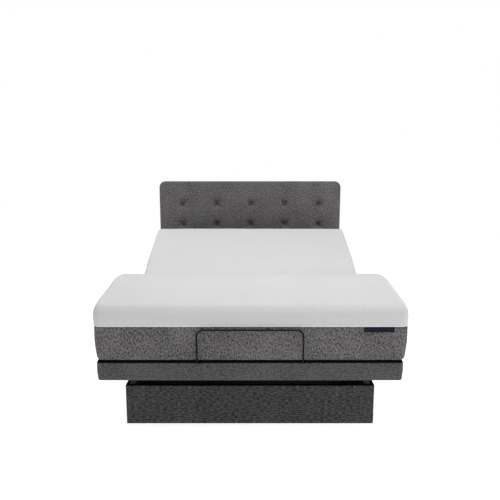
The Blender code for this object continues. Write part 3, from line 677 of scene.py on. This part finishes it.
def mattress_profile(low, high):
    """Rows up the side of the mattress: (height, inset, tag)."""
    seam = low + BORDER_HEIGHT
    rows = []
    for a in np.linspace(0, math.pi / 2, 9):
        rows.append((low + BASE_EDGE_UP * (1 - math.cos(a)),
                     BASE_EDGE_IN * (1 - math.sin(a)) + BORDER_TAPER, "border"))
    start, end = low + BASE_EDGE_UP, seam - SEAM_REACH
    for t in np.linspace(0, 1, 12)[1:]:
        rows.append((start + (end - start) * t, BORDER_TAPER * (1 - t) - BORDER_SWELL * math.sin(math.pi * t),
                     "border"))
    rows.append((seam, SEAM_DEPTH, "border"))
    start, end = seam + SEAM_REACH, high - TOP_EDGE_DROP
    rows.append((start, 0.0, "cover"))
    for t in np.linspace(0, 1, 7)[1:]:
        rows.append((start + (end - start) * t, -BAND_SWELL * math.sin(math.pi * t), "cover"))
    for a in np.linspace(0, math.pi / 2, 12)[1:]:
        rows.append((high - TOP_EDGE_DROP * (1 - math.sin(a)), TOP_EDGE_IN * (1 - math.cos(a)), "cover"))
    return rows


def sharpen_head_edge(points, profile, route, lines_y, high):
    """Makes the rounding along the top edge smaller towards the head end."""
    out = np.array([(math.cos(a), math.sin(a)) for _, _, a in route])
    along = np.array([lines_y[j] for _, j, _ in route])
    cut = (1 - HEAD_EDGE_SHARE) * ease((along - HEAD_AXIS[1]) / (lines_y[-1] - HEAD_AXIS[1]))
    for k, (height, inset, _) in enumerate(profile):
        if height > high - TOP_EDGE_DROP:
            rows = slice(k * len(route), (k + 1) * len(route))
            points[rows, :2] += out * (inset * cut)[:, None]
            points[rows, 2] += (high - height) * cut


def shaped(points, foot_end, head_end, seam, high):
    """The flat mattress, rolled down at its foot edge, drawn in at the head and set a little to one side."""
    points = points.copy()
    height = ease((points[:, 2] - seam) / (high - seam))
    roll = np.clip(1 - (points[:, 1] - foot_end) / FOOT_ROLL_REACH, 0, 1)
    points[:, 2] -= FOOT_ROLL * roll ** 2 * height
    ahead = np.clip((points[:, 1] - HEAD_AXIS[1]) / (head_end - HEAD_AXIS[1]), 0, 1)
    drawn_in = TAPER_AT_BASE + (1 - TAPER_AT_BASE) * height
    points[:, 0] *= 1 - HEAD_TAPER * ahead * drawn_in
    points[:, 0] += SIDE_SHIFT
    return points


def build_mattress():
    seat_low, seat_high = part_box("mattress_seat")
    low, high = seat_low.z, seat_high.z
    head_end = flat_box("mattress_head", "head")[1][1]
    foot_end = flat_box("mattress_foot", "calf")[0][1]
    half = seat_high.x + SIDE_SPARE
    seat_middle = (HEAD_AXIS[1] + HIP_AXIS[1]) / 2
    thigh_middle = (HIP_AXIS[1] + KNEE_FLAT[1]) / 2
    cuts = (seat_middle, thigh_middle)
    profile = mattress_profile(low, high)
    shell = pillow((-half, foot_end), (half, head_end), MATTRESS_CORNER, profile, MATTRESS_STEP, extra_y=cuts,
                   squared=square_head)
    lines_x = spaced(-half + MATTRESS_CORNER, half - MATTRESS_CORNER, MATTRESS_STEP)
    lines_y = spaced(foot_end + MATTRESS_CORNER, head_end - MATTRESS_CORNER, MATTRESS_STEP, cuts)
    route = rim_route(lines_x, lines_y)
    sharpen_head_edge(shell.points, profile, route, lines_y, high)
    flat = shell.points
    _, y, z = flat.T

    ahead = normals(shell, flat)
    swell = rumple(flat, MATTRESS_RUMPLE)
    upper = ease((z - low - BORDER_HEIGHT - SEAM_REACH) / SEAM_CALM)
    lower = ease((low + BORDER_HEIGHT - SEAM_REACH - z) / SEAM_CALM)
    lower *= ease((z - low) / BASE_CALM)
    lift = swell * upper + (swell * 0.8 + 0.001 * noise(flat * (1, 1, 0.4), 0.05, 5)) * lower
    for pivot_y, zones, direction in ((HEAD_AXIS[1], HEAD_BEND, 1), (HIP_AXIS[1], HIP_BEND, -1)):
        t = bend_share(flat, pivot_y, zones, direction, low, high)
        fold = 4 * t * (1 - t)
        waves = np.sin(2 * math.pi * (y + FOLD_WANDER * noise(flat, 0.21, 6)) / FOLD_PITCH)
        lift += FOLD_ON_TOP * fold ** 2 * waves * upper
        lift += FOLD_ON_BORDER * fold ** 2 * waves * lower
    lift += HEAD_LOFT * upper * ease(ahead[:, 2]) * ease((y - HEAD_AXIS[1]) / 0.5)
    seam = low + BORDER_HEIGHT
    placed = mattress_to_rest(shaped(flat + ahead * lift[:, None], foot_end, head_end, seam, high), low, high)

    reach = MATTRESS_CORNER - SEAM_DEPTH + PIPING_RADIUS * 0.55
    loop = [(lines_x[i] + math.cos(a) * reach * square_head(a),
             lines_y[j] + math.sin(a) * reach * square_head(a), seam) for i, j, a in route]
    piping = tube(loop, PIPING_RADIUS, 10, closed=True)
    piping_placed = mattress_to_rest(shaped(piping.points, foot_end, head_end, seam, high), low, high)

    def span_numbers(part):
        """For each face: 0 in the head span, 1 in the middle one, 2 in the foot span."""
        y = np.array([np.mean(part.points[list(face), 1]) for face in part.faces])
        return (y <= cuts[0]).astype(int) + (y <= cuts[1])

    spans = (("head", ("mattress_head", "mattress_seat"), ("base", "head_section"), HEAD_AXIS,
              (cuts[0] - HEAD_AXIS[1], HEAD_FOLLOW)),
             ("middle", ("mattress_thigh",), ("base", "thigh_section"), HIP_AXIS,
              (cuts[0] - HIP_AXIS[1], cuts[1] - HIP_AXIS[1])),
             ("foot", ("mattress_foot",), ("thigh_section", "calf_section"), KNEE_FLAT,
              (cuts[1] - KNEE_FLAT[1], -CALF_FOLLOW)))
    tags, numbers, piping_numbers = np.array(shell.tags), span_numbers(shell), span_numbers(piping)
    for number, (span, nodes, bodies, axis, (before, after)) in enumerate(spans):
        mine = numbers == number
        ends = np.array([axis + (0, before, 0), axis + (0, after, 0)])
        if span != "head":
            ends = to_rest(ends, "thigh")
        if span == "middle":
            along = (ends[1] - ends[0]) / np.linalg.norm(ends[1] - ends[0])
            start_edge = np.array([0.0, cuts[0], high + PIPING_RADIUS * 3])
            ends[0] = ends[1] - along * ((ends[1] - start_edge) @ along)
        parts = (("cover", make_mesh(f"mattress_cover_{span}", shell, placed, {"cover": MATERIALS["cover"]},
                                     mine & (tags == "cover"))),
                 ("border", make_mesh(f"mattress_border_{span}", shell, placed,
                                      {"border": MATERIALS["border"], "base": MATERIALS["border"]},
                                      mine & (tags != "cover"))),
                 ("piping", make_mesh(f"mattress_piping_{span}", piping, piping_placed,
                                      {"tube": MATERIALS["piping"]}, piping_numbers == number)))
        for kind, obj in parts:
            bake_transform(obj)
            if kind == "cover":
                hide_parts(*nodes)
    return foot_end


def build_tag(foot_end, low):
    """The plain woven tab sewn into the mattress seam at the foot end."""
    top = low + BORDER_HEIGHT - PIPING_RADIUS * 0.6
    left, right = TAG_CENTRE_X - TAG_WIDTH / 2, TAG_CENTRE_X + TAG_WIDTH / 2
    shell = pillow((left, top - TAG_HEIGHT), (right, top), 0.002,
                   [(0.0, 0.0004, "tag"), (0.0008, 0.0, "tag"), (0.0013, 0.0006, "tag")], 0.004)
    flat = shell.points.copy()
    curl = 0.0012 * ease((top - flat[:, 1]) / TAG_HEIGHT) * (1 + 0.5 * noise(flat, 0.03, 8))
    depth = foot_end + 0.0005 - BORDER_SWELL * 0.3 - flat[:, 2] - curl
    shell.points = np.stack([flat[:, 0], depth, flat[:, 1]], axis=1)
    obj = make_mesh("mattress_tab", shell, to_rest(shell.points, "calf"),
                    {"tag": MATERIALS["tag"], "base": MATERIALS["tag"]})
    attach(obj, "calf_section")


# ---------------- deck and plinth


def edge_rows(low, high, base_edge, top_edge, swell, tag, steps=6, rows=6, top_tag=None):
    """Rows up a straight side with round edges: (height, inset, tag). The top edge may have its own tag."""
    result = []
    for a in np.linspace(0, math.pi / 2, steps):
        result.append((low + base_edge * (1 - math.cos(a)), base_edge * (1 - math.sin(a)), tag))
    start, end = low + base_edge, high - top_edge
    for t in np.linspace(0, 1, rows)[1:-1]:
        result.append((start + (end - start) * t, -swell * math.sin(math.pi * t), tag))
    for a in np.linspace(0, math.pi / 2, steps):
        result.append((high - top_edge * (1 - math.sin(a)), top_edge * (1 - math.cos(a)),
                       top_tag if top_tag and a > GRIP_AND_SHADE_FROM else tag))
    return result


def build_deck_pad(section, body):
    """An upholstered pad, with its cloth turned under round the plywood board."""
    low, high = flat_box(f"{section}_deck_pad", section)
    bar_high = flat_box("retainer_bar", "calf")[1]
    bar_x = bar_high[0] - BAR_RADIUS
    inner_low, inner_high = low + BOARD_MARGIN, high - BOARD_MARGIN
    extra_x = [inner_low[0], inner_low[0] - BOARD_WALL, inner_high[0], inner_high[0] + BOARD_WALL]
    extra_y = [inner_low[1], inner_low[1] - BOARD_WALL, inner_high[1], inner_high[1] + BOARD_WALL]
    if section == "calf":
        extra_x += [s * bar_x + d * BAR_GROOVE for s in (-1, 1) for d in (-2.0, -1.0, -0.5, 0, 0.5, 1.0, 2.0)]
    # The pad's top and upper edge are grip cloth, darkened as painted shade for the gap under the mattress
    profile = edge_rows(low[2], high[2], PAD_BASE_EDGE, PAD_EDGE, PAD_SWELL, "cloth", rows=9, top_tag="grip")
    shell = pillow(low, high, PAD_CORNER, profile, PAD_STEP, extra_x, extra_y)
    flat = shell.points
    x, y, z = flat.T
    inside = ((x >= inner_low[0] - 1e-6) & (x <= inner_high[0] + 1e-6)
              & (y >= inner_low[1] - 1e-6) & (y <= inner_high[1] + 1e-6))
    at_base = np.abs(z - low[2]) < 1e-6
    above = ease((z - low[2]) / PAD_CALM)
    drawn = flat + normals(shell, flat) * (rumple(flat, PAD_RUMPLE) * above)[:, None]
    drawn[:, 2] = np.where(at_base, low[2] + np.where(inside, BOARD_DEPTH, 0.0), drawn[:, 2])
    if section == "calf":
        beside = np.abs(np.abs(x) - bar_x)
        reach = ease((bar_high[1] + BAR_GROOVE_END - y) / BAR_GROOVE_END)
        on_top = z > high[2] - PAD_EDGE
        drawn[:, 2] -= np.where(on_top, BAR_GROOVE_DEPTH * (1 - ease(beside / BAR_GROOVE / 2)) * reach, 0)
    obj = make_mesh(f"{section}_pad_cloth", shell, to_rest(drawn, section),
                    {"cloth": MATERIALS["deck"], "base": MATERIALS["deck"], "grip": MATERIALS["grip"]})
    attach(obj, body)
    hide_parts(f"{section}_deck_pad")


def build_plinth_panel(side):
    """A board wrapped in cloth: the cloth pulls a little over the face and is turned round every edge."""
    node = f"plinth_{side}_panel"
    low, high = (np.array(v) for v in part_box(node))
    # The top and upper edge of each panel are near-black cloth: painted shade for the dark gap under the deck
    profile = edge_rows(low[2], high[2], PANEL_EDGE, PANEL_EDGE, 0.0, "cloth", steps=4, rows=14, top_tag="tape")
    shell = pillow(low, high, PANEL_CORNER, profile, PANEL_STEP)
    flat = shell.points
    away = ease((flat[:, 2] - low[2]) / PANEL_CALM) * ease((high[2] - flat[:, 2]) / PANEL_CALM)
    lift = (rumple(flat, PANEL_RUMPLE) - PANEL_PULL) * away
    obj = make_mesh(f"plinth_{side}_cloth", shell, flat + normals(shell, flat) * lift[:, None],
                    {"cloth": MATERIALS["plinth"], "base": MATERIALS["plinth"], "tape": MATERIALS["grip"]})
    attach(obj, "base")
    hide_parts(node)


def build_dust_sheet():
    """Black cloth stapled across the foot of the plinth, inside the panels."""
    left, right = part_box("plinth_left_panel")[1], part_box("plinth_right_panel")[0]
    front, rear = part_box("plinth_front_panel")[1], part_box("plinth_rear_panel")[0]
    low = (left.x + DUST_SHEET_GAP, front.y + DUST_SHEET_GAP)
    high = (right.x - DUST_SHEET_GAP, rear.y - DUST_SHEET_GAP)
    profile = [(0.0, 0.0006, "dust"), (0.0004, 0.0, "dust"), (0.0008, 0.0006, "dust")]
    shell = pillow(low, high, 0.004, profile, 0.03)
    placed = shell.points.copy()
    sag = DUST_SHEET_SAG * ease(from_rim(placed, low, high) / DUST_SHEET_SLOPE)
    placed[:, 2] += DUST_SHEET_UP - sag + rumple(placed * (1, 1, 0), DUST_SHEET_RUMPLE)
    obj = make_mesh("plinth_dust_sheet", shell, placed, {"dust": MATERIALS["dust"], "base": MATERIALS["dust"]})
    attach(obj, "base")


# ---------------- headboard


def tuft_places(top):
    return [(x, top - drop) for drop in TUFT_DROPS for x in TUFT_COLUMNS]


def tuft_relief(x, z, top):
    """How far the cloth of the headboard's face is pulled in, in metres."""
    rng = np.random.default_rng(31)
    depth = np.zeros_like(x)
    for tuft_x, tuft_z in tuft_places(top):
        dx, dz = x - tuft_x, z - tuft_z
        r = np.hypot(dx, dz)
        size = 1 + 0.12 * rng.uniform(-1, 1)
        depth += TUFT_DEPTH * size * np.exp(-(r / TUFT_RADIUS) ** 1.5)
        depth += HOLLOW_DEPTH * np.exp(-(r / HOLLOW_RADIUS) ** 2)
        for heading, length_share, depth_share in PULLS:
            angle = math.radians(heading + rng.uniform(-9, 9))
            length = rng.uniform(*PULL_LENGTH) * length_share
            strength = rng.uniform(*PULL_DEPTH) * depth_share
            along = dx * math.cos(angle) + dz * math.sin(angle)
            across = -dx * math.sin(angle) + dz * math.cos(angle)
            across += 0.1 * along ** 2 / length * rng.choice((-1, 1))
            width = 0.0045 + 0.07 * np.maximum(along, 0)
            fade = ease(along / 0.008) * (1 - ease((along - length * 0.25) / (length * 0.75)))
            depth += strength * fade * np.exp(-(across / width) ** 2)
    return depth


def build_headboard_face(low, high):
    """The padded front: crowned cloth, pulled in at the tufts and turned round to the back panel."""
    thick, top = high[1] - low[1], high[2]
    low_corner, high_corner = low[[0, 2]], high[[0, 2]]
    tuft_x = [x + d for x in TUFT_COLUMNS for d in TUFT_LINES]
    tuft_z = [top - drop + d for drop in TUFT_DROPS for d in TUFT_LINES]
    profile = edge_rows(0.0, thick, HEADBOARD_BACK_EDGE, HEADBOARD_EDGE, HEADBOARD_SWELL, "cloth",
                        steps=8, rows=5)
    shell = pillow(low_corner, high_corner, HEADBOARD_CORNER, profile, HEADBOARD_STEP, tuft_x, tuft_z,
                   base=False, squared=square_foot)
    flat = shell.points
    x, z, out = flat.T
    face = ease((out - thick + FACE_REACH) / FACE_REACH)
    crown = HEADBOARD_CROWN * (ease(from_rim(flat, low_corner, high_corner) / CROWN_REACH) - 1)
    lift = face * (crown - tuft_relief(x, z, top) + rumple(flat, HEADBOARD_RUMPLE))
    drawn = flat + normals(shell, flat) * lift[:, None]
    placed = np.stack([drawn[:, 0], high[1] - drawn[:, 2], drawn[:, 1]], axis=1)
    obj = make_mesh("headboard_cloth", shell, placed, {"cloth": MATERIALS["headboard"]})
    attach(obj, "base")
    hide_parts("headboard_pad")


def build_buttons(face_y, top):
    """A button covered with the same cloth in each tuft."""
    buttons = []
    for centre_x, centre_z in tuft_places(top):
        dome = pillow((-BUTTON_RADIUS, -BUTTON_RADIUS), (BUTTON_RADIUS, BUTTON_RADIUS), BUTTON_RADIUS * 0.96,
                      [(BUTTON_RISE * math.sin(a), BUTTON_RADIUS * 0.95 * (1 - math.cos(a)), "cloth")
                       for a in np.linspace(-0.5, 1.5, 8)], 0.002, base=False)
        px, pz, py = dome.points.T
        dome.points = np.stack([px + centre_x, face_y - py, pz + centre_z], axis=1)
        buttons.append(dome)
    shell = joined(buttons)
    obj = make_mesh("headboard_buttons", shell, shell.points, {"cloth": MATERIALS["headboard"]})
    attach(obj, "base")


def build_headboard_back():
    """The back panel: cloth turned in as a hem round a dust cover."""
    low, high = (np.array(v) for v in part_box("headboard_back"))
    high -= (0, 0, HEADBOARD_SHORT)
    thick = high[1] - low[1]
    low_corner, high_corner = low[[0, 2]], high[[0, 2]]
    profile = edge_rows(0.0, thick, BACK_EDGE, BACK_EDGE, 0.0, "cloth", steps=4, rows=3)
    shell = pillow(low_corner, high_corner, HEADBOARD_CORNER, profile, 0.02, base=False, squared=square_foot)
    centres = np.array([np.mean(shell.points[list(face)], axis=0) for face in shell.faces])
    covered = (centres[:, 2] > thick - 1e-5) & (from_rim(centres, low_corner, high_corner) > BACK_HEM)
    shell.tags = ["dust" if dusty else "cloth" for dusty in covered]
    drawn = shell.points.copy()
    inner = from_rim(drawn, low_corner, high_corner) - BACK_HEM
    drawn[:, 2] -= np.where(drawn[:, 2] > thick - 1e-5, 0.0012 * ease(inner / 0.004)
                            + 0.0006 * (1 + noise(drawn, 0.13, 41)) * ease(inner / 0.03), 0)
    placed = np.stack([-drawn[:, 0], low[1] + drawn[:, 2], drawn[:, 1]], axis=1)
    obj = make_mesh("headboard_back_cloth", shell, placed,
                    {"cloth": MATERIALS["plinth"], "dust": MATERIALS["dust"]})
    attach(obj, "base")
    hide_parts("headboard_back")


def build_headboard():
    low, high = (np.array(v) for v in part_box("headboard_pad"))
    low -= (HEADBOARD_SPARE, 0, 0)
    high += (HEADBOARD_SPARE, 0, -HEADBOARD_SHORT)
    build_headboard_face(low, high)
    build_buttons(low[1] + TUFT_DEPTH * BUTTON_SEAT, high[2])
    build_headboard_back()


# ---------------- retainer bar


def rounded_route(corners, radii, steps=12):
    """A path through the corners, each inner corner turned into an arc, with its straight runs cut short."""
    route = [np.array(corners[0], float)]
    for before, corner, after, radius in zip(corners, corners[1:], corners[2:], radii):
        corner = np.array(corner, float)
        back, ahead = (np.array(before) - corner), (np.array(after) - corner)
        back, ahead = back / np.linalg.norm(back), ahead / np.linalg.norm(ahead)
        centre = corner + (back + ahead) * radius
        arc = [centre - ahead * radius * math.cos(t) - back * radius * math.sin(t)
               for t in np.linspace(0, math.pi / 2, steps + 1)]
        run = np.linalg.norm(arc[0] - route[-1])
        pieces = max(1, round(run / 0.02))
        start = route[-1]
        route += [start + (arc[0] - start) * k / pieces for k in range(1, pieces)]
        route += arc
    start, end = route[-1], np.array(corners[-1], float)
    pieces = max(1, round(np.linalg.norm(end - start) / 0.02))
    return route + [start + (end - start) * k / pieces for k in range(1, pieces + 1)]


def build_retainer_bar():
    low, high = flat_box("retainer_bar", "calf")
    x, foot_y, bar_y = high[0] - BAR_RADIUS, high[1], low[1] + BAR_RADIUS
    foot_z, top_z = low[2] + BAR_RADIUS, high[2] - BAR_RADIUS
    corners = [(-x, foot_y, foot_z), (-x, bar_y, foot_z), (-x, bar_y, top_z),
               (x, bar_y, top_z), (x, bar_y, foot_z), (x, foot_y, foot_z)]
    route = rounded_route(corners, (BAR_FOOT_BEND, BAR_BEND, BAR_BEND, BAR_FOOT_BEND))
    shell = tube(route, BAR_RADIUS, 20)
    obj = make_mesh("retainer_bar_round", shell, to_rest(shell.points, "calf"), {"tube": FINISHES["bar_steel"]})
    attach(obj, "calf_section")
    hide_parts("retainer_bar")


# ---------------- frame finishes


def finish_frame():
    """Gives every CAD node that still shows the finish of its slot."""
    for node in frame["nodes"].values():
        if not node.hide_render:
            slot = node.data.materials[0].name.split(".")[0]
            node.material_slots[0].link = "OBJECT"
            node.material_slots[0].material = FINISHES[slot]


# ---------------- studio


def area_light(name, place, target, size, power):
    data = bpy.data.lights.new(name, "AREA")
    data.shape, data.size, data.size_y = "RECTANGLE", *size
    data.energy = power
    obj = bpy.data.objects.new(name, data)
    obj.location = place
    obj.rotation_euler = (Vector(target) - Vector(place)).to_track_quat("-Z", "Y").to_euler()
    bpy.context.scene.collection.objects.link(obj)


def build_studio():
    scene = bpy.context.scene
    scene.view_settings.view_transform = "Standard"
    shell = Shell()
    corners = [(x * FLOOR_HALF, y * FLOOR_HALF) for x, y in ((-1, -1), (1, -1), (1, 1), (-1, 1))]
    shell.points = np.array([(*c, 0.0) for c in corners])
    shell.face((0, 1, 2, 3), "floor", tuple(corners))
    make_mesh("studio_floor", shell, shell.points, {"floor": floor_material()})

    world = bpy.data.worlds.new("studio")
    scene.world = world
    world.use_nodes = True
    tree = world.node_tree
    background = tree.nodes["Background"]
    bright = tree.nodes.new("ShaderNodeBackground")
    for node, strength in ((background, AMBIENT), (bright, BACKDROP)):
        node.inputs["Color"].default_value = (1, 1, 1, 1)
        node.inputs["Strength"].default_value = strength
    path = tree.nodes.new("ShaderNodeLightPath")
    mix = tree.nodes.new("ShaderNodeMixShader")
    tree.links.new(path.outputs["Is Camera Ray"], mix.inputs[0])
    tree.links.new(background.outputs[0], mix.inputs[1])
    tree.links.new(bright.outputs[0], mix.inputs[2])
    tree.links.new(mix.outputs[0], tree.nodes["World Output"].inputs[0])

    for name, light in LIGHTS.items():
        area_light(name, *light)


def build_camera():
    front = flat_box("calf_deck_pad", "calf")
    edge = to_rest(np.array([[0.0, front[0][1], front[1][2]]]), "calf")[0]
    data = bpy.data.cameras.new("camera")
    data.lens = CAMERA_LENS
    data.sensor_width = 36.0
    obj = bpy.data.objects.new("camera", data)
    obj.location = (0.0, edge[1] - CAMERA_AHEAD, CAMERA_HEIGHT)
    obj.rotation_euler = (math.radians(90 - CAMERA_PITCH), 0, 0)
    bpy.context.scene.collection.objects.link(obj)
    bpy.context.scene.camera = obj


mattress_end = build_mattress()
build_tag(mattress_end, flat_box("mattress_foot", "calf")[0][2])
for deck_section, deck_body in (("head", "head_section"), ("seat", "base"), ("thigh", "thigh_section"),
                                ("calf", "calf_section")):
    build_deck_pad(deck_section, deck_body)
for plinth_side in ("front", "rear", "left", "right"):
    build_plinth_panel(plinth_side)
build_dust_sheet()
build_headboard()
build_retainer_bar()
finish_frame()
build_studio()
build_camera()
